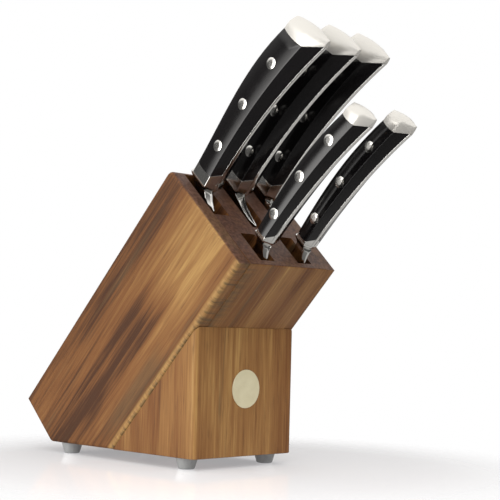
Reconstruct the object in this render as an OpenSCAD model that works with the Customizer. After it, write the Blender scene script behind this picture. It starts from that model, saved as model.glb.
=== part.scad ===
// Slanted acacia knife block on a wedge support, with five full-tang knives.
// Block-frame coordinates: x across, s from the back face to the front face,
// a along the slots, 0 at the slotted face and positive up and out of the slots.

/* [Block] */
// Width of the block
block_w = 96; // [92:1:110]
// Depth of the slanted body from its back face to its front face
body_depth = 96.4; // [94:0.2:104]
// Length of the body along its slots
body_len = 228; // [222:1:250]
// Depth of the square lower end, from the back face to the floor cut
bottom_end = 43.7; // [40:0.1:50]
// Slope of the slots above the horizontal, in degrees
slope = 46.7; // [44:0.1:50]
// Thickness of each side cheek
cheek_t = 10.4; // [8:0.1:11]
// Depth at which the two staves of a cheek are glued together
cheek_joint = 58; // [50:1:64]
// Height of the rubber feet
foot_h = 7.8; // [6:0.1:12]
// Radius of the rounded long corners in the side outline
corner_r = 5; // [2:0.5:7]

/* [Slots] */
// Width of a back-row slot
rear_slot_w = 14.6; // [13:0.2:16]
// Spacing of the back-row slots
rear_pitch = 30.3; // [28:0.1:31]
// Depth from the back face at which the back-row slots start
rear_slot_s = 4.6; // [4:0.1:6]
// Front end of the two outer back-row slots
outer_slot_end = 46.5; // [44:0.5:50]
// Front end of the middle back-row slot, which holds the widest blade
middle_slot_end = 56.6; // [55:0.1:60]
// Length of the back-row slots below the slotted face
rear_slot_len = 207; // [205:1:209]
// Width of a front-row slot
front_slot_w = 13.6; // [12:0.2:15]
// Distance of each front-row slot from the middle of the block
front_slot_x = 18.3; // [17:0.1:20]
// Depth at which the front-row slots start
front_slot_s = 64.6; // [63:0.1:66]
// Depth at which the front-row slots end
front_slot_end = 91.6; // [91.4:0.1:93]
// Length of the front-row slots
front_slot_len = 150; // [140:1:160]

/* [Support] */
// Height of the support's front face above the feet
support_h = 88.5; // [80:0.5:96]
// Radius of the support's two upright front edges
support_edge_r = 4; // [2:0.5:6]
// Joint between the left and the middle stave
left_joint_x = -24; // [-30:1:-20]
// Joint between the middle and the right stave
right_joint_x = 25.5; // [20:0.5:30]
// Diameter of the inlaid badge
badge_d = 26.4; // [20:0.2:32]
// Height of the badge's centre above the floor
badge_z = 54; // [40:1:65]

/* [Feet] */
// Diameter of a foot where it meets the wood
foot_top_d = 15.5; // [13:0.5:17]
// Diameter of a foot on the floor
foot_floor_d = 11; // [9:0.5:13]
// Distance of each foot from the middle of the block
foot_x = 38; // [36:0.5:39]
// Distance of the rear feet from the body's bottom edge
rear_foot_u = 14; // [12:1:20]
// Distance of the front feet from the body's bottom edge
front_foot_u = 139; // [130:1:144]

/* [Knives] */
// Thickness of a blade at its spine
blade_t = 2.4; // [1.8:0.1:3]
// Thickness of the tang between the scales
tang_t = 3; // [2.5:0.1:4]
// Diameter of a rivet
rivet_d = 7.8; // [6:0.1:9]
// Half thickness of a large handle at its middle
large_half = 8.6; // [7.5:0.1:9.4]
// Half thickness of a small handle at its middle
small_half = 7.8; // [7:0.1:9]

/* [Hidden] */
$fn = 48;

half_w = block_w / 2;
inner_w = half_w - cheek_t;
cs = cos(slope);
sn = sin(slope);
// Length of the body along its front face, up to where the floor cut meets it
front_len = body_len - (body_depth - bottom_end) * cs / sn;
// Height of the slotted face's back edge above the floor
top_z = foot_h + body_len * sn + bottom_end * cs;
// Distance of that edge in front of the body's bottom edge
top_u = body_len * cs - bottom_end * sn;
// Where the floor cut meets the front face, and the support's front face, in front of that edge
toe_u = (body_depth - bottom_end) / sn;
nose_u = toe_u + support_h * cs / sn;
// The frame's origin is this far in front of the body's bottom edge
origin_u = 124.4;

wood_light = "#b58a5a";
wood_dark = "#7d5135";
wood_end = "#8a5f49";
steel = "#d9d7d2";
black = "#151416";

// ---------- geometry helpers ----------
function unit(v) = v / norm(v);

// Points of the arc that rounds corner c between its neighbours p and n.
function corner(p, c, n, r, steps = 6) =
    let (u = unit(p - c), v = unit(n - c), half = acos(u * v) / 2,
         centre = c + unit(u + v) * r / sin(half),
         from = c + u * r / tan(half) - centre, to = c + v * r / tan(half) - centre,
         a0 = atan2(from.y, from.x), turn = (atan2(to.y, to.x) - a0 + 540) % 360 - 180)
    [for (i = [0 : steps]) centre + r * [cos(a0 + turn * i / steps), sin(a0 + turn * i / steps)]];

// A cubic that runs through four control heights c as t goes from 0 to 1.
function rail(c, t) =
    c[0] * pow(1 - t, 3) + 3 * c[1] * t * pow(1 - t, 2) + 3 * c[2] * t * t * (1 - t) + c[3] * pow(t, 3);

function mix(from, to, t) = from + (to - from) * t;

// Extrudes a side outline, drawn in [forward, up] coordinates, from x0 to x1.
module plate(x0, x1) {
    translate([x1, 0, 0]) rotate([90, 0, -90]) linear_extrude(x1 - x0) children();
}

// Puts block-frame geometry in its place above the floor.
module on_slope() {
    translate([0, origin_u - top_u, top_z]) rotate([90 - slope, 0, 0]) children();
}

// Joins rings of equal point counts into one closed solid. A mirrored ring runs down the
// left side and back up the right one: its first end is then a ridge, and its last an arc.
module loft(rings, mirrored = false) {
    n = len(rings[0]);
    half = n / 2;
    last = len(rings) - 1;
    sides = [for (i = [0 : last - 1], j = [0 : n - 1]) each [
        [i * n + j, i * n + (j + 1) % n, (i + 1) * n + (j + 1) % n],
        [i * n + j, (i + 1) * n + (j + 1) % n, (i + 1) * n + j]]];
    bottom = mirrored
        ? concat([for (j = [1 : half - 2]) [0, j + 1, j]], [[0, half, half - 1], [0, n - 1, half]],
                 [for (j = [half : n - 3]) [n - 1, j + 1, j]])
        : [for (j = [1 : n - 2]) [0, j + 1, j]];
    top = mirrored
        ? [for (j = [0 : half - 2]) each [[j, j + 1, n - 2 - j], [j, n - 2 - j, n - 1 - j]]]
        : [for (j = [1 : n - 2]) [0, j, j + 1]];
    lifted_top = [for (face = top) [for (j = face) last * n + j]];
    polyhedron([for (r = rings) each r], concat(sides, bottom, lifted_top));
}

// ---------- wooden body ----------
// Side outline of the whole slanted body, its floor cut included.
body_outline = concat(
    corner([0, -body_len], [0, 0], [body_depth, 0], corner_r),
    corner([0, 0], [body_depth, 0], [body_depth, -front_len], 1.2),
    [[body_depth, -front_len]],
    corner([body_depth, -front_len], [bottom_end, -body_len], [0, -body_len], corner_r),
    corner([bottom_end, -body_len], [0, -body_len], [0, 0], 1.5));

// One board of the body, between widths x0 and x1, depths s0 and s1 and heights a0 and a1.
module board(x0, x1, s0, s1, a0 = -300, a1 = 10) {
    on_slope() intersection() {
        plate(x0, x1) polygon(body_outline);
        translate([x0 - 1, -s1, a0]) cube([x1 - x0 + 2, s1 - s0, a1 - a0]);
    }
}

module left_cheek_rear() color(wood_dark) board(-half_w, -inner_w, 0, cheek_joint);
module right_cheek_rear() color(wood_dark) board(inner_w, half_w, 0, cheek_joint);
module left_cheek_front() color(wood_light) board(-half_w, -inner_w, cheek_joint, body_depth);
module right_cheek_front() color(wood_light) board(inner_w, half_w, cheek_joint, body_depth);
module back_board() color(wood_dark) board(-inner_w, inner_w, 0, rear_slot_s);

// A divider between two back-row slots; side is -1 or 1.
divider_in = rear_slot_w / 2;
divider_out = rear_pitch - rear_slot_w / 2;
module left_divider()
    color(wood_end) board(-divider_out, -divider_in, rear_slot_s, middle_slot_end, -rear_slot_len);
module right_divider()
    color(wood_end) board(divider_in, divider_out, rear_slot_s, middle_slot_end, -rear_slot_len);
module left_slot_filler()
    color(wood_end) board(-inner_w, -divider_out, outer_slot_end, middle_slot_end, -rear_slot_len);
module right_slot_filler()
    color(wood_end) board(divider_out, inner_w, outer_slot_end, middle_slot_end, -rear_slot_len);
module rear_slot_floor()
    color(wood_end) board(-inner_w, inner_w, rear_slot_s, middle_slot_end, -300, -rear_slot_len);
module middle_board() color(wood_end) board(-inner_w, inner_w, middle_slot_end, front_slot_s);

spacer_in = front_slot_x - front_slot_w / 2;
spacer_out = front_slot_x + front_slot_w / 2;
module left_spacer()
    color(wood_end) board(-inner_w, -spacer_out, front_slot_s, front_slot_end, -front_slot_len);
module middle_spacer()
    color(wood_end) board(-spacer_in, spacer_in, front_slot_s, front_slot_end, -front_slot_len);
module right_spacer()
    color(wood_end) board(spacer_out, inner_w, front_slot_s, front_slot_end, -front_slot_len);
module front_slot_floor()
    color(wood_end) board(-inner_w, inner_w, front_slot_s, front_slot_end, -300, -front_slot_len);
module front_board() color(wood_light) board(-inner_w, inner_w, front_slot_end, body_depth);

// ---------- wedge support ----------
module support_stave(x0, x1) {
    front_y = origin_u - nose_u;
    back_y = origin_u - toe_u;
    intersection() {
        plate(x0, x1) polygon([
            [toe_u - origin_u, foot_h],
            [nose_u - origin_u, foot_h],
            [nose_u - origin_u, foot_h + support_h]]);
        linear_extrude(200) polygon(concat(
            [[half_w, back_y], [-half_w, back_y]],
            corner([-half_w, back_y], [-half_w, front_y], [half_w, front_y], support_edge_r),
            corner([-half_w, front_y], [half_w, front_y], [half_w, back_y], support_edge_r)));
    }
}

module left_support_stave() color(wood_light) support_stave(-half_w, left_joint_x);
module middle_support_stave() color(wood_light) difference() {
    support_stave(left_joint_x, right_joint_x);
    badge_disc(badge_d + 0.1, badge_depth);
}
module right_support_stave() color(wood_dark) support_stave(right_joint_x, half_w);

// Beech dowels that are glued across the joint between the body's cheeks and the support.
dowel_d = 6;
dowel_len = 24;
dowel_a = [-110, -152];
module support_dowels() color(wood_light)
    for (side = [-1, 1], a = dowel_a)
        on_slope() translate([side * (half_w - cheek_t / 2), -(body_depth - dowel_len / 2), a])
            rotate([90, 0, 0]) cylinder(d = dowel_d, h = dowel_len);

// The badge is let into the front face and stands a little proud of it.
badge_depth = 1;
badge_proud = 0.4;
module badge_disc(d, depth) {
    translate([0, origin_u - nose_u + depth, badge_z])
        rotate([90, 0, 0]) cylinder(d = d, h = depth + badge_proud, $fn = 96);
}
module badge() color("#d8cba0") badge_disc(badge_d, badge_depth);

// ---------- feet ----------
screw_head_d = 5.6;
screw_head_h = 2;
screw_seat = 3.2;
screw_len = 14;
module at_foot(side, u) {
    translate([side * foot_x, origin_u - u, 0]) children();
}

module foot(side, u) color("#a9adb0") at_foot(side, u) difference() {
    cylinder(d1 = foot_floor_d, d2 = foot_top_d, h = foot_h);
    translate([0, 0, -1]) cylinder(d = screw_head_d + 0.6, h = 1 + screw_seat);
    cylinder(d = 3, h = foot_h + 1);
}

module rear_left_foot() foot(-1, rear_foot_u);
module rear_right_foot() foot(1, rear_foot_u);
module front_left_foot() foot(-1, front_foot_u);
module front_right_foot() foot(1, front_foot_u);

module foot_screws() color(steel)
    for (side = [-1, 1], u = [rear_foot_u, front_foot_u]) at_foot(side, u) {
        translate([0, 0, screw_seat - screw_head_h]) cylinder(d = screw_head_d, h = screw_head_h);
        translate([0, 0, screw_seat - 0.5]) cylinder(d = 3, h = screw_len);
    }

// ---------- knives ----------
// A handle is described by its rails: control heights of s for the tang's spine and edge
// lines, the offsets of the two ridges from them at both ends, and heights along its axis.
// [spine rail, edge rail, spine ridge offsets, edge ridge offsets, half thickness,
//  bolster's neck, scale end, butt end, fall of the butt's arc, slant of the butt joint,
//  rivet places as parts of the way from neck to scale end, collar between neck and scales]
LARGE = [[4.6, 3, -9.6, 10], [29.2, 27.2, 30, 43.5], [5.4, 5.8], [2.8, 9], large_half,
         7, 127.5, 141.5, 1.8, 1.2, [0.235, 0.52, 0.81], 8.5];
SMALL = [[0.5, -3.3, -4.9, 7.2], [15.2, 15.7, 18.7, 28.8], [3.4, 4.4], [2, 5.8], small_half,
         10, 112.5, 124, 1.4, 0.75, [0.187, 0.5, 0.815], 2.5];

// [x, back edge of the handle, handle, blade spine, heel depth, heel height, blade length,
//  tip depth, height at which it rests above the others of its row]
CARVING = [-30, 0, LARGE, 6.6, 39, -3, 200, 14, 0];
CHEFS = [0.5, 0, LARGE, 6.6, 52.2, -1.8, 200, 9, 0];
BREAD = [30, 0.5, LARGE, 6.6, 32, -2, 200, 20, 0];
UTILITY = [-17.2, 70.3, SMALL, 4, 19.6, -1, 125, 9, 0];
PARING = [18.6, 73.2, SMALL, 3.6, 17.9, -2.5, 90, 8, 2.5];

function handle_t(h, a) = (a - h[5]) / (h[7] - h[5]);
function spine_s(h, a) = rail(h[0], handle_t(h, a));
function edge_s(h, a) = rail(h[1], handle_t(h, a));
function spine_ridge(h, a) = spine_s(h, a) + mix(h[2][0], h[2][1], handle_t(h, a));
function edge_ridge(h, a) = edge_s(h, a) - mix(h[3][0], h[3][1], handle_t(h, a));
function half_t(h, a) = h[4] * (0.92 + 0.08 * min(1, handle_t(h, a) * 2));

// Moves what follows to a knife's own place, with its handle's back edge at s = 0.
module at_knife(k) {
    on_slope() translate([k[0], -k[1], k[8]]) children();
}

// One side of a handle's section: from the tang's spine line over the side to its edge line.
// A slant above 0 lifts the points nearer to the tang, as at the two ends of a scale.
crown = 0.7;
front_slant = 0.7;
function side_point(h, a, f, slant) =
    let (bulge = crown * (1 - pow(2 * f - 1, 2)), z = a - slant * bulge)
    [half_t(h, a) + bulge, -mix(spine_ridge(h, z), edge_ridge(h, z), f), z];
function side_points(h, a, slant) =
    let (tt = tang_t / 2, z = a + slant * (half_t(h, a) - tt))
    [[tt, -spine_s(h, z), z],
     for (f = [0 : 0.25 : 1]) side_point(h, a, f, slant),
     [tt, -edge_s(h, z), z]];
function sided(points, side) = [for (p = points) [side * p.x, p.y, p.z]];
function reversed(list) = [for (i = [len(list) - 1 : -1 : 0]) list[i]];
function turned(list, side) = side > 0 ? list : reversed(list);

scale_rings = 16;
module scale(k, side) {
    h = k[2];
    front = h[5] + h[11];
    color(black) at_knife(k)
        loft([for (i = [0 : scale_rings]) let (f = i / scale_rings)
            turned(sided(side_points(h, mix(front, h[6], f), mix(front_slant, h[9], f)), side), -side)]);
}

// The butt cap: a plate that lies over the slanted ends of the scales. Its sides are a skirt
// that thins towards the tang, and its end is domed, with a crest that falls to both ends.
cap_rings = 6;
cap_skirt = 3.5;
cap_rim = 0.5;
crest_half_w = 0.3;
crest_peak = 0.4;
function cap_side(h, f) =
    let (low = side_points(h, h[6], h[9]),
         mid = -(spine_s(h, h[7]) + edge_s(h, h[7])) / 2,
         reach = (edge_s(h, h[7]) - spine_s(h, h[7])) / 2,
         tt = tang_t / 2)
    [for (p = low)
        let (q = (mid - p.y) / reach, crest = h[7] - h[8] * pow(q - crest_peak, 2),
             z = p.z + mix(cap_rim, cap_skirt, (p.x - tt) / (half_t(h, h[6]) - tt)))
        [mix(crest_half_w, p.x, cos(90 * f)), p.y, mix(z, crest, sin(90 * f))]];
module cap(k) {
    h = k[2];
    base = side_points(h, h[6], h[9]);
    halves = concat([base], [for (i = [0 : cap_rings]) cap_side(h, i / cap_rings)]);
    color(steel) at_knife(k)
        loft([for (half = halves) concat(sided(half, -1), reversed(half))], mirrored = true);
}

// Rivet places: at three heights along the handle, on the middle of its side.
function rivet_a(h) = [for (f = h[10]) mix(h[5], h[6], f)];
module rivets(k) {
    h = k[2];
    color(steel) at_knife(k) for (a = rivet_a(h))
        translate([0, -(mix(spine_ridge(h, a), edge_ridge(h, a), 0.56)), a])
            rotate([0, 90, 0]) cylinder(d = rivet_d, h = 2 * (half_t(h, a) + crown), center = true);
}

// The forged part: full tang, bolster that thins from the handle to the blade, and the blade.
tang_steps = 24;
module tang(h) {
    butt = h[6] + h[9] * (half_t(h, h[6]) - tang_t / 2);
    a_list = [for (i = [0 : tang_steps]) mix(h[5] - 1, butt, i / tang_steps)];
    plate(-tang_t / 2, tang_t / 2) polygon(concat(
        [for (a = a_list) [spine_s(h, a), a]],
        [for (a = reversed(a_list)) [edge_s(h, a), a]]));
}

// A faceted steel section: spine line, two ridges and the edge line.
function steel_ring(s0, s1, ridge, w, edge_w, a0, a1) = [
    [-edge_w, -s0, a0], [-w, -(s0 + ridge), mix(a0, a1, 0.25)], [-w, -(s1 - ridge), mix(a0, a1, 0.75)],
    [-edge_w, -s1, a1],
    [edge_w, -s1, a1], [w, -(s1 - ridge), mix(a0, a1, 0.75)], [w, -(s0 + ridge), mix(a0, a1, 0.25)],
    [edge_w, -s0, a0]];

// The handle's own section in steel, which the bolster's collar keeps below the scales.
function collar_ring(h, a, slant) =
    let (side = side_points(h, a, slant), last = len(side) - 1,
         half = [side[0], side[1], side[last - 1], side[last]])
    concat(sided(half, -1), reversed(half));

module bolster(k) {
    h = k[2];
    neck = h[5];
    s0 = spine_s(h, neck);
    s1 = edge_s(h, neck);
    w = half_t(h, neck);
    heel = k[4];
    low = k[5];
    loft([
        collar_ring(h, neck + h[11], front_slant),
        collar_ring(h, neck, 0),
        steel_ring(s0 + 1, s1 - 0.8, 2.4, w * 0.8, 1.5, neck - 2, neck - 2),
        steel_ring(k[3] - 1, s1 - 1, 2.2, w * 0.6, 1.4, neck - 4.5, neck - 4.5),
        steel_ring(k[3] - 0.8, mix(s1, heel, 0.35), 2.6, w * 0.5, 1.2, neck - 6.5, mix(neck - 6.5, low, 0.4)),
        steel_ring(k[3], heel, 3, w * 0.34, 0.7, neck - 9, low),
        steel_ring(k[3], heel - 0.5, 3, blade_t * 0.55, 0.5, neck - 18, low - 7)], mirrored = true);
}

blade_rings = 16;
module blade(k) {
    start = k[5] - 2;
    loft([for (i = [0 : blade_rings])
        let (t = i / blade_rings, a = start - (k[6] + k[5] - 2) * t,
             s0 = rail([k[3], k[3] - 0.3, k[3] - 0.2, k[7] - 0.4], t),
             s1 = rail([k[4], k[4] - 0.5, mix(k[3], k[4], 0.86), k[7] + 0.6], t),
             w = blade_t / 2 * (1 - 0.6 * t))
        [[-w, -s0, a], [-0.15, -s1, a], [0.15, -s1, a], [w, -s0, a]]]);
}

module knife_steel(k) color(steel) at_knife(k) {
    tang(k[2]);
    bolster(k);
    blade(k);
}

module carving_knife_blade() knife_steel(CARVING);
module carving_knife_left_scale() scale(CARVING, -1);
module carving_knife_right_scale() scale(CARVING, 1);
module carving_knife_rivets() rivets(CARVING);
module carving_knife_cap() cap(CARVING);
module chefs_knife_blade() knife_steel(CHEFS);
module chefs_knife_left_scale() scale(CHEFS, -1);
module chefs_knife_right_scale() scale(CHEFS, 1);
module chefs_knife_rivets() rivets(CHEFS);
module chefs_knife_cap() cap(CHEFS);
module bread_knife_blade() knife_steel(BREAD);
module bread_knife_left_scale() scale(BREAD, -1);
module bread_knife_right_scale() scale(BREAD, 1);
module bread_knife_rivets() rivets(BREAD);
module bread_knife_cap() cap(BREAD);
module utility_knife_blade() knife_steel(UTILITY);
module utility_knife_left_scale() scale(UTILITY, -1);
module utility_knife_right_scale() scale(UTILITY, 1);
module utility_knife_rivets() rivets(UTILITY);
module utility_knife_cap() cap(UTILITY);
module paring_knife_blade() knife_steel(PARING);
module paring_knife_left_scale() scale(PARING, -1);
module paring_knife_right_scale() scale(PARING, 1);
module paring_knife_rivets() rivets(PARING);
module paring_knife_cap() cap(PARING);

left_cheek_rear();
left_cheek_front();
right_cheek_rear();
right_cheek_front();
back_board();
left_divider();
right_divider();
left_slot_filler();
right_slot_filler();
rear_slot_floor();
middle_board();
left_spacer();
middle_spacer();
right_spacer();
front_slot_floor();
front_board();
left_support_stave();
middle_support_stave();
right_support_stave();
support_dowels();
badge();
rear_left_foot();
rear_right_foot();
front_left_foot();
front_right_foot();
foot_screws();
carving_knife_blade();
carving_knife_left_scale();
carving_knife_right_scale();
carving_knife_rivets();
carving_knife_cap();
chefs_knife_blade();
chefs_knife_left_scale();
chefs_knife_right_scale();
chefs_knife_rivets();
chefs_knife_cap();
bread_knife_blade();
bread_knife_left_scale();
bread_knife_right_scale();
bread_knife_rivets();
bread_knife_cap();
utility_knife_blade();
utility_knife_left_scale();
utility_knife_right_scale();
utility_knife_rivets();
utility_knife_cap();
paring_knife_blade();
paring_knife_left_scale();
paring_knife_right_scale();
paring_knife_rivets();
paring_knife_cap();
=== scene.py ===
from math import atan2, cos, pi, radians, sin

import bmesh
import bpy
from mathutils import Matrix, Vector


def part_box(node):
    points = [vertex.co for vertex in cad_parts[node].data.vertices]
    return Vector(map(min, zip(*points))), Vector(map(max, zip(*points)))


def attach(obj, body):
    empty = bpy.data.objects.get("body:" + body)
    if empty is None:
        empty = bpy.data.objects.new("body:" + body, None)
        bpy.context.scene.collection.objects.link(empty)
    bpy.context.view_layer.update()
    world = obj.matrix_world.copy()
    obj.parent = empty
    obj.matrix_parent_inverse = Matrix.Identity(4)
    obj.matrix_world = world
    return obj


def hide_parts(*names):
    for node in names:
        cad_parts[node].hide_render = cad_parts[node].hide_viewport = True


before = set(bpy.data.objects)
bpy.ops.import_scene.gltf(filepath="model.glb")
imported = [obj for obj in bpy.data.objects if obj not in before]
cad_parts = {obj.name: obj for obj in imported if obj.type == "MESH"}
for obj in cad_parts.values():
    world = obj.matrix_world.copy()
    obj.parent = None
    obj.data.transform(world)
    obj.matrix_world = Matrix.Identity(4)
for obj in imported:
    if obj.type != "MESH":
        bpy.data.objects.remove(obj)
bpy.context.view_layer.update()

# ---------------------------------------------------------------- camera
# A long lens a little above the table's height, on the block's front left corner.
bpy.ops.object.camera_add(location=(-0.6334, -0.6545, 0.0956))
camera = bpy.context.object
camera_turn = Matrix.Rotation(radians(-45.494), 4, "Z") @ Matrix.Rotation(radians(93.499), 4, "X")
camera.rotation_euler = (camera_turn @ Matrix.Rotation(radians(1.529), 4, "Z")).to_euler()
camera.data.lens = 92.4
camera.data.sensor_width = 36
bpy.context.scene.camera = camera
bpy.context.scene.view_settings.view_transform = "Standard"


# ---------------------------------------------------------------- studio
# A white table that runs out into a white room. Above it hangs a wide soft box, and a tall
# one stands on the left; the rest of the room is dark, so that polished steel has contrast.
class Wire:
    """An output of a node tree. Arithmetic on it adds the tree's Math nodes."""

    def __init__(self, socket):
        self.socket = socket
        self.tree = socket.id_data

    def make(self, kind, sockets=None, out=0, stops=None, **settings):
        """A new node of that kind: its settings first, then its sockets' numbers or links."""
        return make_node(self.tree, kind, sockets, out, stops, **settings)

    def math(self, operation, *others):
        values = dict(enumerate((self,) + others))
        return self.make("Math", values, operation=operation)

    def __add__(self, other):
        return self.math("ADD", other)

    def __sub__(self, other):
        return self.math("SUBTRACT", other)

    def __rsub__(self, other):
        return self.make("Math", {0: other, 1: self}, operation="SUBTRACT")

    def __mul__(self, other):
        return self.math("MULTIPLY", other)

    __radd__ = __add__
    __rmul__ = __mul__

    def step(self, low, high, start=0.0, end=1.0):
        """A smooth step from start to end as this value goes from low to high."""
        values = {"Value": self, "From Min": low, "From Max": high, "To Min": start, "To Max": end}
        return self.make("MapRange", values, interpolation_type="SMOOTHSTEP")

    def between(self, low, full_from, full_to, high):
        """A smooth band: 0 up to low, 1 from full_from to full_to, and 0 again from high on."""
        return self.step(low, full_from) * self.step(high, full_to)

    def mix(self, first, second):
        """The colour first where this value is 0, and second where it is 1."""
        return self.make("Mix", {0: self, 6: first, 7: second}, 2, data_type="RGBA")

    def dot(self, direction):
        return self.make("VectorMath", {0: self, 1: direction}, "Value", operation="DOT_PRODUCT")


def make_node(tree, kind, sockets=None, out=0, stops=None, **settings):
    node = tree.nodes.new("ShaderNode" + kind)
    for name, value in settings.items():
        setattr(node, name, value)
    if stops:
        ramp = node.color_ramp.elements
        while len(ramp) < len(stops):
            ramp.new(0.5)
        for element, (place, colour) in zip(ramp, stops):
            element.position = place
            element.color = (*colour, 1)
    for key, value in (sockets or {}).items():
        if isinstance(value, Wire):
            tree.links.new(value.socket, node.inputs[key])
        else:
            node.inputs[key].default_value = value
    return Wire(node.outputs[out])


room = bpy.data.worlds.new("white_room")
room.use_nodes = True
room.node_tree.nodes.clear()
towards = make_node(room.node_tree, "TexCoord", out="Generated")
height = towards.dot((0, 0, 1))
left_box = towards.dot(Vector((-0.978, 0.208, 0)).normalized()).step(0.865, 0.960)
top_box = height.step(0.20, 0.52)
below = height.step(0.02, -0.10) * towards.dot((1, 0, 0)).step(-0.45, 0.45, 0.06, 0.42)
glow = 0.08 + left_box * 4.6 + top_box * 1.10 + below
seen = make_node(room.node_tree, "LightPath", out="Is Camera Ray")
tint = seen.mix((1, 0.985, 0.96, 1), (1, 1, 1, 1))
walls = seen.make("Background", {"Color": tint, "Strength": glow * (1 - seen) + seen})
room_end = room.node_tree.nodes.new("ShaderNodeOutputWorld")
room.node_tree.links.new(walls.socket, room_end.inputs["Surface"])
bpy.context.scene.world = room


def soft_light(name, place, aim, size, power):
    """A soft box that lights the set and stays out of reflections."""
    bpy.ops.object.light_add(type="AREA", location=place)
    light = bpy.context.object
    light.name = name
    light.data.size = size
    light.data.energy = power
    light.rotation_euler = (Vector(aim) - Vector(place)).to_track_quat("-Z", "Y").to_euler()
    light.visible_glossy = False


soft_light("front_left_light", (-0.75, -0.75, 0.75), (0, 0, 0.12), 0.7, 5)
soft_light("front_light", (0.15, -1.1, 0.45), (0, 0, 0.12), 0.6, 1.2)

bpy.ops.mesh.primitive_circle_add(vertices=96, radius=2.2, fill_type="NGON")
table = bpy.context.object
table.name = "table"
table.visible_glossy = False
table_finish = bpy.data.materials.new("white_table")
table_finish.use_nodes = True
table.data.materials.append(table_finish)
table_tree = table_finish.node_tree
table_gloss = table_tree.nodes["Principled BSDF"]
table_gloss.inputs["Base Color"].default_value = (0.93, 0.92, 0.925, 1)
table_gloss.inputs["Roughness"].default_value = 0.09
table_gloss.inputs["Emission Color"].default_value = (0.97, 0.97, 1, 1)
table_gloss.inputs["Emission Strength"].default_value = 0.31
spot = make_node(table_tree, "TexCoord", out="Object")
far = spot.make("VectorMath", {0: spot}, "Value", operation="LENGTH").step(0.14, 0.27)
clear = far.make("BsdfTransparent")
faded = far.make("MixShader", {0: far, 1: Wire(table_gloss.outputs[0]), 2: clear})
table_tree.links.new(faded.socket, table_tree.nodes["Material Output"].inputs["Surface"])


# ---------------------------------------------------------------- wooden body
# The slanted body is glued up from solid acacia boards, oiled: two cheeks, each of a dark and
# a light stave, a back and a front board, and between them the short boards that leave slots.
# Every outer edge of the cheeks is rounded over; the boards meet the cheeks flush.
slope = radians(46.7)
lean = pi / 2 - slope
forward = Vector((0, -sin(slope), -cos(slope)))
up_slope = Vector((0, -cos(slope), sin(slope)))
top_edge = Vector((0, -0.00016, 0.2037))
half_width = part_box("right_cheek_rear")[1].x
glue_line = 0.058
umber = (0.060, 0.023, 0.009, 1)
chestnut = (0.165, 0.066, 0.020, 1)
sienna = (0.260, 0.128, 0.041, 1)
honey = (0.430, 0.260, 0.088, 1)
olive = (0.100, 0.066, 0.032, 1)


def depth_of(point):
    """How far a point lies in front of the body's back face, square to its slant."""
    return (point - top_edge).dot(forward)


def new_finish(name):
    """A material with nothing in it but its shader: the material, the shader, the coordinates."""
    finish = bpy.data.materials.new(name)
    finish.use_nodes = True
    shader = finish.node_tree.nodes["Principled BSDF"]
    return finish, shader, make_node(finish.node_tree, "TexCoord", out="Object")


def feed(shader, **wires):
    for name, wire in wires.items():
        shader.id_data.links.new(wire.socket, shader.inputs[name.replace("_", " ")])


def cloudy(vector, scale, detail=3.0, distortion=0.0):
    """Noise from 0 to 1, with its own number of cycles a metre along each axis."""
    spread = vector.make("VectorMath", {0: vector, 1: scale}, operation="MULTIPLY")
    values = {"Vector": spread, "Scale": 1.0, "Detail": detail, "Distortion": distortion}
    return vector.make("TexNoise", values)


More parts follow.
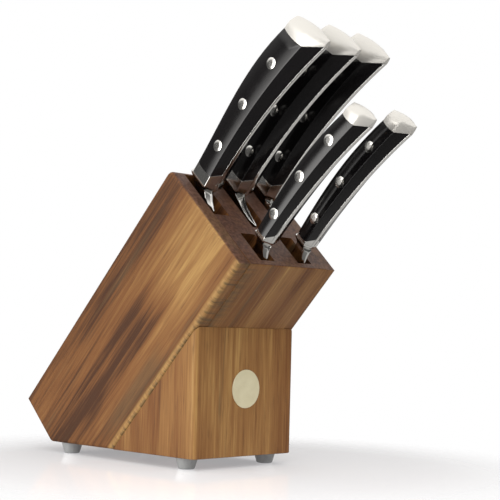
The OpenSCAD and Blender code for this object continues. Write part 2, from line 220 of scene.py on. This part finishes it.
def acacia(name, shift, light, lean_back=0.0, curls_and_sheen=0.0, patch=False):
    """Oiled acacia. Its grain runs up, leaning back by lean_back; shift moves the figure along
    the log, light is the share of pale sapwood, and the argument after lean_back is the strength
    of the curly front edge: its curls are the wood's figure, its honey band on the rounded corner
    a painted highlight. A patch is a golden clearing, with a dark vein, a pale run and an olive
    shadow below it."""
    finish, shader, place = new_finish(name)
    turn = {"Vector": place, "Rotation": (-lean_back, 0, 0), "Location": shift}
    log = place.make("Mapping", turn)
    flow = cloudy(log, (22, 22, 3.0), 4, 1.2)
    bands = cloudy(log, (85, 85, 4.0), 4, 0.8)
    lines = cloudy(log, (520, 520, 16), 4)
    fibres = cloudy(log, (1100, 1100, 34), 3)
    pore = cloudy(log, (1500, 1500, 55), 2).step(0.56, 0.74)
    depth = place.dot(forward) - top_edge.dot(forward)
    rise = place.dot(up_slope) - top_edge.dot(up_slope)
    tone = flow * 1.1 + bands * 0.7 + lines * 0.65 + fibres * 0.35 + (light - 1.42)
    if patch:
        clearing = depth.between(0.028, 0.048, 0.074, 0.090) * rise.step(-0.110, -0.045)
        pale_run = depth.between(0.065, 0.069, 0.076, 0.084) * rise.step(-0.060, -0.090)
        streaks = cloudy(log, (60, 60, 5), 3, 1.6).step(0.42, 0.58)
        low_veins = depth.between(0.034, 0.054, 0.065, 0.069) * rise.step(-0.050, -0.110) * streaks
        dark_vein = depth.between(0.048, 0.062, 0.065, 0.069) * rise.step(-0.040, -0.070)
        lower_end = rise.step(-0.015, -0.120)
        tone = tone + clearing * 0.42 + pale_run * 0.13
        tone = tone - low_veins * 0.13 - dark_vein * 0.15 - lower_end * 0.14
    stops = [(0.0, umber[:3]), (0.28, chestnut[:3]), (0.62, sienna[:3]), (1.0, honey[:3])]
    colour = tone.make("ValToRGB", {"Fac": tone}, stops=stops)
    vein = cloudy(log, (46, 46, 3.0), 3, 1.8).step(0.58, 0.72)
    colour = (vein * 0.55).mix(colour, olive)
    if patch:
        shadow_rise = rise.between(-0.190, -0.150, -0.112, -0.085)
        shadow = depth.between(0.075, 0.081, 0.087, 0.092) * shadow_rise
        colour = (shadow * 0.5).mix(colour, olive)
    height = lines * 0.5 - pore * 0.8
    if curls_and_sheen:
        across = place.dot((1, 0, 0))
        # A band on the rounded front corner: it carries the wood's curly figure and a painted
        # highlight.
        curly_edge_sheen = across.step(-0.0475, -0.0440, 1.0, 0.0) * depth.step(0.0905, 0.0935)
        figure = across.step(-0.040, -0.022, 1.0, 0.0) * depth.step(0.0930, 0.0958)
        curls = cloudy(log, (60, 60, 420), 2, 0.6).step(0.36, 0.64)
        swell = cloudy(log, (26, 26, 260), 3, 1.2).step(0.42, 0.62)
        # Painted highlight: the honey band along the rounded front corner. The chestnut curls and the
        # bumps in it are the wood's own figure.
        colour = (curly_edge_sheen * curls_and_sheen * 0.7).mix(colour, honey)
        colour = (curly_edge_sheen * curls * (curls_and_sheen * 0.42)).mix(colour, chestnut)
        colour = (figure * swell * (curls_and_sheen * 0.8)).mix(colour, olive)
        height = height + curly_edge_sheen * curls * -1.2
    colour = (pore * 0.45).mix(colour, umber)
    facing = place.make("NewGeometry", out="Normal")
    grain_way = Matrix.Rotation(lean_back, 3, "X") @ Vector((0, 0, 1))
    end = facing.dot(grain_way).math("ABSOLUTE").step(0.6, 0.9)
    ends = cloudy(log, (420, 420, 40)).step(0.30, 0.75)
    end_colour = ends.mix((0.048, 0.022, 0.015, 1), (0.135, 0.066, 0.045, 1))
    colour = (end * 0.85).mix(colour, end_colour)
    relief = height.make("Bump", {"Height": height, "Strength": 0.30, "Distance": 0.0004})
    feed(shader, Base_Color=colour, Normal=relief, Roughness=0.46 + bands * 0.14)
    shader.inputs["Specular IOR Level"].default_value = 0.25
    return finish


def only(piece):
    """Makes the piece the one thing that is selected."""
    bpy.ops.object.select_all(action="DESELECT")
    piece.select_set(True)
    bpy.context.view_layer.objects.active = piece


def pick(kind, test):
    """In edit mode, selects the verts, edges or faces that pass the test, and nothing else."""
    bpy.ops.mesh.select_mode(type={"verts": "VERT", "edges": "EDGE", "faces": "FACE"}[kind])
    bpy.ops.mesh.select_all(action="DESELECT")
    work = bmesh.from_edit_mesh(bpy.context.object.data)
    for element in getattr(work, kind):
        element.select_set(test(element))
    work.select_flush_mode()
    bmesh.update_edit_mesh(bpy.context.object.data)


def copy_of(node, name):
    """A sound copy of a CAD node's mesh, merged, left in edit mode with all of it selected."""
    piece = bpy.data.objects.new(name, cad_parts[node].data.copy())
    bpy.context.scene.collection.objects.link(piece)
    only(piece)
    bpy.ops.object.mode_set(mode="EDIT")
    bpy.ops.mesh.select_all(action="SELECT")
    bpy.ops.mesh.remove_doubles(threshold=2e-6)
    bpy.ops.mesh.normals_make_consistent(inside=False)
    return piece


def finish_piece(piece, finish, body, slot, *nodes, angle=32):
    """Leaves edit mode, smooths the shading, and hands the piece to its body."""
    bpy.ops.object.mode_set(mode="OBJECT")
    only(piece)
    bpy.ops.object.shade_smooth_by_angle(angle=radians(angle))
    bpy.ops.object.modifier_add(type="WEIGHTED_NORMAL")
    piece.modifiers[-1].keep_sharp = True
    bpy.ops.object.modifier_apply(modifier=piece.modifiers[-1].name)
    piece.data.materials.clear()
    piece.data.materials.append(finish)
    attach(piece, body)
    if nodes:
        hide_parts(*nodes)


def outer_corner(edge):
    """Whether an edge runs round the outside of a cheek, away from the glue line."""
    middle = (edge.verts[0].co + edge.verts[1].co) / 2
    turned = len(edge.link_faces) == 2 and edge.calc_face_angle() > radians(40)
    on_side = all(abs(v.co.x) > half_width - 1e-5 for v in edge.verts)
    return turned and on_side and abs(depth_of(middle) - glue_line) > 2e-4


round_over = 0.0024
tight_arc = 0.0005
cheek_wood = {
    "rear": acacia("acacia_dark_stave", (0.31, 0.12, 0.03), 0.27, lean, patch=True),
    "front": acacia("acacia_light_stave", (0.07, 0.45, 0.21), 0.43, lean, curls_and_sheen=1.0, patch=True),
}
for side in ("left", "right"):
    for stave, wood in cheek_wood.items():
        node = f"{side}_cheek_{stave}"
        cheek = copy_of(node, f"{side}_{stave}_cheek_stave")
        bpy.ops.mesh.dissolve_limited(angle_limit=radians(1))
        pick("edges", lambda edge: edge.calc_length() < tight_arc)
        bpy.ops.mesh.edge_collapse()
        pick("edges", outer_corner)
        bpy.ops.mesh.bevel(offset=round_over, segments=4, affect="EDGES")
        finish_piece(cheek, wood, "block", "acacia_dark" if stave == "rear" else "acacia_light", node)

board_wood = {
    "back_board": acacia("acacia_back", (0.52, 0.31, 0.11), 0.42, lean),
    "front_board": acacia("acacia_front", (0.18, 0.77, 0.35), 0.44, lean, curls_and_sheen=0.9),
    "middle_board": acacia("acacia_middle", (0.63, 0.20, 0.50), 0.24, lean),
    "left_divider": acacia("acacia_left_divider", (0.81, 0.38, 0.40), 0.20, lean),
    "right_divider": acacia("acacia_right_divider", (0.29, 0.92, 0.23), 0.17, lean),
    "left_slot_filler": acacia("acacia_left_filler", (0.44, 0.52, 0.61), 0.14, lean),
    "right_slot_filler": acacia("acacia_right_filler", (0.93, 0.66, 0.12), 0.12, lean),
    "left_spacer": acacia("acacia_left_spacer", (0.37, 0.15, 0.72), 0.22, lean),
    "middle_spacer": acacia("acacia_middle_spacer", (0.71, 0.83, 0.30), 0.19, lean),
    "right_spacer": acacia("acacia_right_spacer", (0.56, 0.47, 0.19), 0.21, lean),
    "rear_slot_floor": acacia("acacia_rear_floor", (0.25, 0.64, 0.44), 0.50),
    "front_slot_floor": acacia("acacia_front_floor", (0.85, 0.27, 0.57), 0.50),
}
for node, wood in board_wood.items():
    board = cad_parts[node]
    board.data.materials.clear()
    board.data.materials.append(wood)


# ---------------------------------------------------------------- wedge support
# Three upright acacia staves, glued side by side and cut to the slant of the body, whose
# front face is glued and dowelled on them. The front edges are rounded, the others eased.
eased = 0.0008
support_wood = {
    "left": acacia("acacia_left_support", (0.15, 0.33, 0.42), 0.47),
    "middle": acacia("acacia_middle_support", (0.49, 0.71, 0.08), 0.68),
    "right": acacia("acacia_right_support", (0.77, 0.16, 0.29), 0.40),
}
badge_low, badge_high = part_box("badge")
badge_margin = 0.001


def eased_edge(edge, glued_at):
    """Whether an edge of a stave is eased: not upright, not on a glue line, not by the badge."""
    glued = any(all(abs(v.co.x - x) < 1e-5 for v in edge.verts) for x in glued_at)
    upright = abs((edge.verts[0].co - edge.verts[1].co).normalized().z) > 0.99
    sharp = len(edge.link_faces) == 2 and edge.calc_face_angle() > radians(30)
    by_badge = all(badge_low.z - badge_margin < v.co.z < badge_high.z + badge_margin
                   for v in edge.verts)
    return sharp and not glued and not upright and not by_badge


for side, wood in support_wood.items():
    node = f"{side}_support_stave"
    stave = copy_of(node, f"{side}_upright_stave")
    bpy.ops.mesh.dissolve_limited(angle_limit=radians(1))
    glued_at = {v.co.x for v in bmesh.from_edit_mesh(stave.data).verts if abs(v.co.x) < 0.03}
    pick("edges", lambda edge: eased_edge(edge, glued_at))
    bpy.ops.mesh.bevel(offset=eased, segments=2, affect="EDGES")
    finish_piece(stave, wood, "block", "acacia_dark" if side == "right" else "acacia_light", node)


# ---------------------------------------------------------------- badge
# A thin disc of pale anodised metal, pressed into a shallow pocket in the support's front
# face. It is blank. Its rim is turned over and a fine ring is rolled inside it.
badge_middle = (badge_low + badge_high) / 2
badge_radius = (badge_high.z - badge_low.z) / 2
badge_thick = badge_high.y - badge_low.y
turned_rim = 0.0011
rim_drop = 0.00012
ring_width = 0.0003
ring_lift = 0.00010
rim_softness = 0.00022
bpy.ops.object.select_all(action="DESELECT")
bpy.ops.mesh.primitive_cylinder_add(vertices=96, radius=badge_radius, depth=badge_thick,
                                    location=badge_middle, rotation=(pi / 2, 0, 0))
disc = bpy.context.object
disc.name = "badge_disc"
bpy.ops.object.transform_apply(location=True, rotation=True)
bpy.ops.object.mode_set(mode="EDIT")
pick("faces", lambda face: face.normal.y < -0.9)
bpy.ops.mesh.inset(thickness=turned_rim)
bpy.ops.transform.translate(value=(0, rim_drop, 0))
bpy.ops.mesh.inset(thickness=ring_width)
bpy.ops.transform.translate(value=(0, -ring_lift, 0))
rim_y = badge_low.y + 1e-5
pick("edges", lambda edge: all(v.co.y < rim_y and (v.co - badge_middle).length > badge_radius - 1e-4
                               for v in edge.verts))
bpy.ops.mesh.bevel(offset=rim_softness, segments=3, affect="EDGES")
badge_finish, badge_shader, badge_place = new_finish("badge_champagne")
turned = badge_place.make("VectorMath", {0: badge_place, 1: badge_middle}, operation="SUBTRACT")
rings = turned.make("VectorMath", {0: turned}, "Value", operation="LENGTH") * 9000
lathe = rings.math("SINE")
patina = cloudy(badge_place, (160, 160, 160))
feed(badge_shader, Base_Color=patina.mix((0.66, 0.59, 0.38, 1), (0.80, 0.74, 0.52, 1)),
     Roughness=0.34 + patina * 0.12,
     Normal=lathe.make("Bump", {"Height": lathe, "Strength": 0.08, "Distance": 0.0001}))
badge_shader.inputs["Metallic"].default_value = 0.35
finish_piece(disc, badge_finish, "block", "badge_cream", "badge")

# ---------------------------------------------------------------- feet
# Four grey rubber feet, tapered, with a rounded sole edge and a recess for the screw that
# holds each one; its pan head has a tapered recess and sits up inside the foot.
rubber, rubber_shader, rubber_place = new_finish("grey_rubber")
speckle = cloudy(rubber_place, (2600, 2600, 2600))
smears = cloudy(rubber_place, (220, 220, 220))
feed(rubber_shader, Base_Color=smears.mix((0.25, 0.255, 0.255, 1), (0.33, 0.335, 0.335, 1)),
     Roughness=0.55 + smears * 0.2,
     Normal=speckle.make("Bump", {"Height": speckle, "Strength": 0.25, "Distance": 0.0002}))
plated, plated_shader, plated_place = new_finish("plated_screw")
wear = cloudy(plated_place, (900, 900, 900))
feed(plated_shader, Base_Color=wear.mix((0.52, 0.52, 0.50, 1), (0.72, 0.72, 0.70, 1)),
     Roughness=0.25 + wear * 0.2)
plated_shader.inputs["Metallic"].default_value = 1.0
foot_rounding = 0.0011
head_radius = 0.0028
head_height = 0.002
head_floor = 0.0012
head_rounding = 0.0007
recess_rim = 0.0011
recess_depth = 0.0009
shank_shoulder = 0.0013
shank_length = 0.012
for place in ("rear_left", "rear_right", "front_left", "front_right"):
    foot = copy_of(f"{place}_foot", f"{place}_rubber_foot")
    bpy.ops.mesh.dissolve_limited(angle_limit=radians(1))
    low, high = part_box(f"{place}_foot")
    pick("edges", lambda edge: len(edge.link_faces) == 2 and edge.calc_face_angle() > radians(40)
         and all(v.co.z < 1e-5 for v in edge.verts))
    bpy.ops.mesh.bevel(offset=foot_rounding, segments=4, affect="EDGES")
    finish_piece(foot, rubber, "block", "foot_rubber", f"{place}_foot")
    bpy.ops.object.select_all(action="DESELECT")
    bpy.ops.mesh.primitive_cylinder_add(
        vertices=32, radius=head_radius, depth=head_height,
        location=((low.x + high.x) / 2, (low.y + high.y) / 2, head_floor + head_height / 2))
    head = bpy.context.object
    head.name = f"{place}_foot_screw"
    bpy.ops.object.transform_apply(location=True)
    bpy.ops.object.mode_set(mode="EDIT")
    pick("faces", lambda face: face.normal.z < -0.9)
    bpy.ops.mesh.bevel(offset=head_rounding, segments=4, affect="EDGES")
    pick("faces", lambda face: face.normal.z < -0.9 and face.calc_area() > 2e-6)
    bpy.ops.mesh.inset(thickness=recess_rim)
    bpy.ops.mesh.extrude_region_move(TRANSFORM_OT_translate={"value": (0, 0, recess_depth)})
    bpy.ops.transform.resize(value=(0.4, 0.4, 1))
    pick("faces", lambda face: face.normal.z > 0.9)
    bpy.ops.mesh.inset(thickness=shank_shoulder)
    bpy.ops.mesh.extrude_region_move(TRANSFORM_OT_translate={"value": (0, 0, shank_length)})
    finish_piece(head, plated, "block", "screw_steel")
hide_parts("foot_screws")

# ---------------------------------------------------------------- knife handles
# Each handle is a full tang between two scales of black gloss plastic, held by three polished
# steel pins and closed at the butt by a domed steel cap. The scales' long edges are ground
# to facets: the ridges between them are barely softened, and run into the cap's.
knives = ("carving_knife", "chefs_knife", "bread_knife", "utility_knife", "paring_knife")
black, black_shader, black_place = new_finish("black_gloss")
haze = cloudy(black_place, (60, 60, 60), 4)
hairlines = cloudy(black_place, (2400, 240, 240), 2).step(0.62, 0.78)
feed(black_shader, Base_Color=haze.mix((0.0048, 0.0044, 0.0048, 1), (0.0085, 0.0076, 0.0080, 1)),
     Roughness=0.11 + haze * 0.07 + hairlines * 0.05,
     Normal=haze.make("Bump", {"Height": haze, "Strength": 0.02, "Distance": 0.0005}))
black_shader.inputs["IOR"].default_value = 1.5

polished, polished_shader, polished_place = new_finish("polished_steel")
buffing = cloudy(polished_place, (1800, 120, 120), 2)
cloud = cloudy(polished_place, (45, 45, 45))
feed(polished_shader, Base_Color=cloud.mix((0.80, 0.785, 0.75, 1), (0.90, 0.885, 0.85, 1)),
     Roughness=0.09 + buffing * 0.09 + cloud * 0.04,
     Normal=buffing.make("Bump", {"Height": buffing, "Strength": 0.03, "Distance": 0.0002}))
polished_shader.inputs["Metallic"].default_value = 1.0

brushed, brushed_shader, brushed_place = new_finish("brushed_cap_steel")
grazing = cloudy(brushed_place, (900, 160, 160), 3)
handling = cloudy(brushed_place, (38, 38, 38))
feed(brushed_shader, Base_Color=handling.mix((0.64, 0.62, 0.58, 1), (0.70, 0.68, 0.64, 1)),
     Roughness=0.27 + grazing * 0.10 + handling * 0.05,
     Normal=grazing.make("Bump", {"Height": grazing, "Strength": 0.03, "Distance": 0.0002}))
brushed_shader.inputs["Metallic"].default_value = 0.55

ridge_softness = 0.00045
cap_softness = 0.00035
pin_rim = 0.0009
pin_crown = 0.0014
pin_dome = 0.00025


def is_ridge(edge):
    """Whether two facets meet at an edge that runs along the handle."""
    along = (edge.verts[0].co - edge.verts[1].co).normalized()
    bent = len(edge.link_faces) == 2 and edge.calc_face_angle() > radians(14)
    return bent and abs(along.x) < 0.5 and abs(along.dot(forward)) < 0.8


for knife in knives:
    for side in ("left", "right"):
        node = f"{knife}_{side}_scale"
        scale = copy_of(node, f"{knife}_{side}_grip")
        bpy.ops.mesh.tris_convert_to_quads(face_threshold=radians(30), shape_threshold=radians(60))
        pick("edges", is_ridge)
        bpy.ops.mesh.bevel(offset=ridge_softness, segments=3, affect="EDGES")
        finish_piece(scale, black, knife, "handle_black", node, angle=24)
    cap = copy_of(f"{knife}_cap", f"{knife}_butt_cap")
    bpy.ops.mesh.tris_convert_to_quads(face_threshold=radians(30), shape_threshold=radians(60))
    pick("edges", lambda edge: len(edge.link_faces) == 2 and edge.calc_face_angle() > radians(38))
    bpy.ops.mesh.bevel(offset=cap_softness, segments=2, affect="EDGES")
    finish_piece(cap, brushed, knife, "polished_steel", f"{knife}_cap", angle=40)
    pins = copy_of(f"{knife}_rivets", f"{knife}_pins")
    bpy.ops.mesh.dissolve_limited(angle_limit=radians(1))
    pick("faces", lambda face: abs(face.normal.x) > 0.9)
    bpy.ops.mesh.inset(thickness=pin_rim, use_individual=True)
    for way in (-1, 1):
        pick("faces", lambda face: face.normal.x * way > 0.9 and face.calc_area() > 1.2e-5)
        bpy.ops.transform.translate(value=(way * pin_dome, 0, 0))
        bpy.ops.mesh.inset(thickness=pin_crown, use_individual=True)
        bpy.ops.transform.translate(value=(way * pin_dome / 2, 0, 0))
    finish_piece(pins, polished, knife, "polished_steel", f"{knife}_rivets", angle=40)


# ---------------------------------------------------------------- blades
# Each blade is forged in one with its collar, bolster and full tang. The collar keeps the
# scales' outline; below it the bolster necks in and runs out into a wedge at the heel. Both are
# polished, and the blade below them is ground across in fine satin lines.
mm = 0.001
blade_half = 1.2
edge_thinness = 0.12
grind_height = 0.006
grind_thinness = 0.5
bolster_softness = 0.0005
collar_softness = 0.00035
satin, satin_shader, satin_place = new_finish("forged_blade_steel")
along_blade = satin_place.make("Mapping", {"Vector": satin_place, "Rotation": (-lean, 0, 0)})
ground = along_blade.dot((0, 0, 1)).step(0.1450, 0.1395)
strokes = cloudy(along_blade, (300, 60, 5200), 3)
stains = cloudy(satin_place, (50, 50, 50))
bright = stains.mix((0.70, 0.69, 0.67, 1), (0.83, 0.82, 0.79, 1))
feed(satin_shader, Base_Color=(ground * 0.85).mix(bright, (0.25, 0.25, 0.242, 1)),
     Roughness=0.10 + stains * 0.05 + ground * (0.13 + strokes * 0.16),
     Normal=strokes.make("Bump", {"Height": strokes * (ground * 0.9 + 0.1), "Strength": 0.10,
                                  "Distance": 0.0002}))
satin_shader.inputs["Metallic"].default_value = 1.0

# For each knife, in millimetres, with s square to the body's back face and a up its slant:
# its place [x, s, a]; the collar's lower end [a, spine s, edge s, half width]; the heel
# [spine s, edge s, a]; and the blade [length, tip s, number of stations, depth of the scallops].
large_front = (7, 4.5, 29.2, 7.9)
small_front = (10, 0.5, 15.5, 7.2)
forgings = {
    "carving_knife": ((-30, 0, 0), large_front, (6.6, 39, -3), (200, 14, 20, 0)),
    "chefs_knife": ((0.5, 0, 0), large_front, (6.6, 52.2, -1.8), (200, 9, 20, 0)),
    "bread_knife": ((30, 0.5, 0), large_front, (6.6, 32, -2), (200, 20, 84, 0.9)),
    "utility_knife": ((-17.2, 70.3, 0), small_front, (4, 19.6, -1), (125, 9, 16, 0)),
    "paring_knife": ((18.6, 73.2, 2.5), small_front, (3.6, 17.9, -2.5), (90, 8, 14, 0)),
}


def blend(start, end, share):
    return start + (end - start) * share


def bow(heights, share):
    """A curve through four control heights."""
    rest = 1 - share
    weights = (rest ** 3, 3 * share * rest ** 2, 3 * share ** 2 * rest, share ** 3)
    return sum(height * weight for height, weight in zip(heights, weights))


def centre_of(station):
    s0, a0, s1, a1, half = station
    return Vector((0, -(s0 + s1) / 2, (a0 + a1) / 2)) * mm


def size_of(station):
    s0, a0, s1, a1, half = station
    return Vector((half * mm, Vector((s1 - s0, a0 - a1)).length / 2 * mm, 1))


def tilt_of(station):
    s0, a0, s1, a1, half = station
    return atan2(a0 - a1, s1 - s0)


def draw_out(before, after):
    """Extrudes the selected end of a forging from one station to the next."""
    centre = centre_of(before)
    shrink = [new / old for new, old in zip(size_of(after), size_of(before))]
    bpy.ops.mesh.extrude_region_move(TRANSFORM_OT_translate={"value": (0, 0, 0)})
    bpy.ops.transform.rotate(value=tilt_of(before), orient_axis="X", center_override=centre)
    bpy.ops.transform.resize(value=shrink, center_override=centre)
    bpy.ops.transform.rotate(value=-tilt_of(after), orient_axis="X", center_override=centre)
    bpy.ops.transform.translate(value=centre_of(after) - centre)


for knife, (seat, front, heel, blade) in forgings.items():
    top, s0, s1, half = front
    heel_spine, heel_edge, low = heel
    length, tip, count, scallop = blade
    stations = [
        (s0, top, s1, top, half),
        (s0 + 0.2, top - 1.0, s1 - 0.2, top - 1.0, half * 0.97),
        (s0 + 0.8, top - 2.2, s1 - 0.9, top - 2.2, half * 0.84),
        (blend(s0, heel_spine, 0.6), top - 3.6, s1 - 1.6, top - 3.6, half * 0.64),
        (heel_spine - 0.6, top - 5.0, blend(s1, heel_edge, 0.06), top - 4.8, half * 0.54),
        (heel_spine - 0.5, top - 6.4,
         blend(s1, heel_edge, 0.34), blend(top - 5.6, low, 0.34), half * 0.48),
        (heel_spine - 0.3, top - 8.0,
         blend(s1, heel_edge, 0.72), blend(top - 6.0, low, 0.74), half * 0.40),
        (heel_spine, top - 10.0, heel_edge, low, half * 0.32),
        (heel_spine, top - 13.0, heel_edge - 0.1, low - 2.2, half * 0.24),
        (heel_spine, top - 18.0, heel_edge - 0.4, low - 7.0, blade_half * 1.1)]
    start = min(low - 7.0, top - 18.0) - 4.0
    for i in range(count + 1):
        share = i / count
        down = blend((2 - start) / length, 1, share)
        scallops = scallop if i % 2 and 0.05 < share < 0.93 else 0
        belly = blend(heel_spine, heel_edge, 0.86)
        edge_s = bow((heel_edge, heel_edge - 0.5, belly, tip + 0.6), down) - scallops
        spine_s = bow((heel_spine, heel_spine - 0.3, heel_spine - 0.2, tip - 0.4), down)
        level = blend(start, -length, share)
        stations.append((spine_s, level, edge_s, level, blade_half * (1 - 0.6 * down)))

    bpy.ops.object.select_all(action="DESELECT")
    bpy.ops.mesh.primitive_circle_add(vertices=8, radius=1, fill_type="NGON", rotation=(0, 0, pi / 8))
    bar = bpy.context.object
    bpy.ops.object.transform_apply(rotation=True)
    bpy.ops.object.mode_set(mode="EDIT")
    bpy.ops.mesh.select_all(action="SELECT")
    bpy.ops.transform.resize(value=[1 / cos(pi / 8)] * 3)
    pick("verts", lambda vert: abs(vert.co.y) > 0.9)
    bpy.ops.transform.resize(value=(0.5, 1, 1))
    pick("verts", lambda vert: abs(vert.co.x) > 0.9)
    bpy.ops.transform.resize(value=(1, 1.7, 1))
    bpy.ops.mesh.select_all(action="SELECT")
    bpy.ops.transform.resize(value=size_of(stations[0]), center_override=(0, 0, 0))
    bpy.ops.transform.translate(value=centre_of(stations[0]))
    for before, after in zip(stations, stations[1:]):
        draw_out(before, after)
    blade_top = (start + 0.5) * mm
    bpy.ops.mesh.select_all(action="SELECT")
    bpy.ops.mesh.normals_make_consistent(inside=False)
    work = bmesh.from_edit_mesh(bar.data)
    edge_at = {}
    for vert in work.verts:
        height = round(vert.co.z, 6)
        edge_at[height] = min(edge_at.get(height, 1), vert.co.y)
    pick("verts", lambda vert: vert.co.z < blade_top
         and vert.co.y < edge_at[round(vert.co.z, 6)] + 1e-5)
    bpy.ops.transform.resize(value=(edge_thinness, 1, 1), center_override=(0, 0, 0))
    pick("verts", lambda vert: vert.co.z < blade_top
         and vert.co.y > edge_at[round(vert.co.z, 6)] + 1e-5 and abs(vert.co.x) > 1e-4
         and vert.co.y < edge_at[round(vert.co.z, 6)] + grind_height)
    bpy.ops.transform.resize(value=(grind_thinness, 1, 1), center_override=(0, 0, 0))
    pick("edges", lambda edge: len(edge.link_faces) == 2 and edge.calc_face_angle() > radians(28)
         and edge.verts[0].co.z > (low - 1) * mm and edge.verts[1].co.z > (low - 1) * mm
         and edge.verts[0].co.z != edge.verts[1].co.z)
    bpy.ops.mesh.bevel(offset=bolster_softness, segments=3, affect="EDGES")
    bpy.ops.object.mode_set(mode="OBJECT")
    x, s, a = seat
    bar.matrix_world = (Matrix.Translation(top_edge) @ Matrix.Rotation(lean, 4, "X")
                        @ Matrix.Translation(Vector((x, -s, a)) * mm))
    bpy.ops.object.transform_apply(location=True, rotation=True)

    tang = copy_of(f"{knife}_blade", f"{knife}_forging")
    joint = top_edge + up_slope * (top + a + 0.05) * mm
    bpy.ops.mesh.bisect(plane_co=joint, plane_no=up_slope, clear_inner=True, use_fill=True)
    bpy.ops.mesh.select_all(action="SELECT")
    bpy.ops.mesh.dissolve_limited(angle_limit=radians(0.5))
    pick("edges", lambda edge: len(edge.link_faces) == 2 and edge.calc_face_angle() > radians(38))
    bpy.ops.mesh.bevel(offset=collar_softness, segments=2, affect="EDGES")
    bpy.ops.object.mode_set(mode="OBJECT")
    bpy.ops.object.select_all(action="DESELECT")
    bar.select_set(True)
    tang.select_set(True)
    bpy.context.view_layer.objects.active = tang
    bpy.ops.object.join()
    finish_piece(tang, satin, knife, "blade_steel", f"{knife}_blade", angle=30)
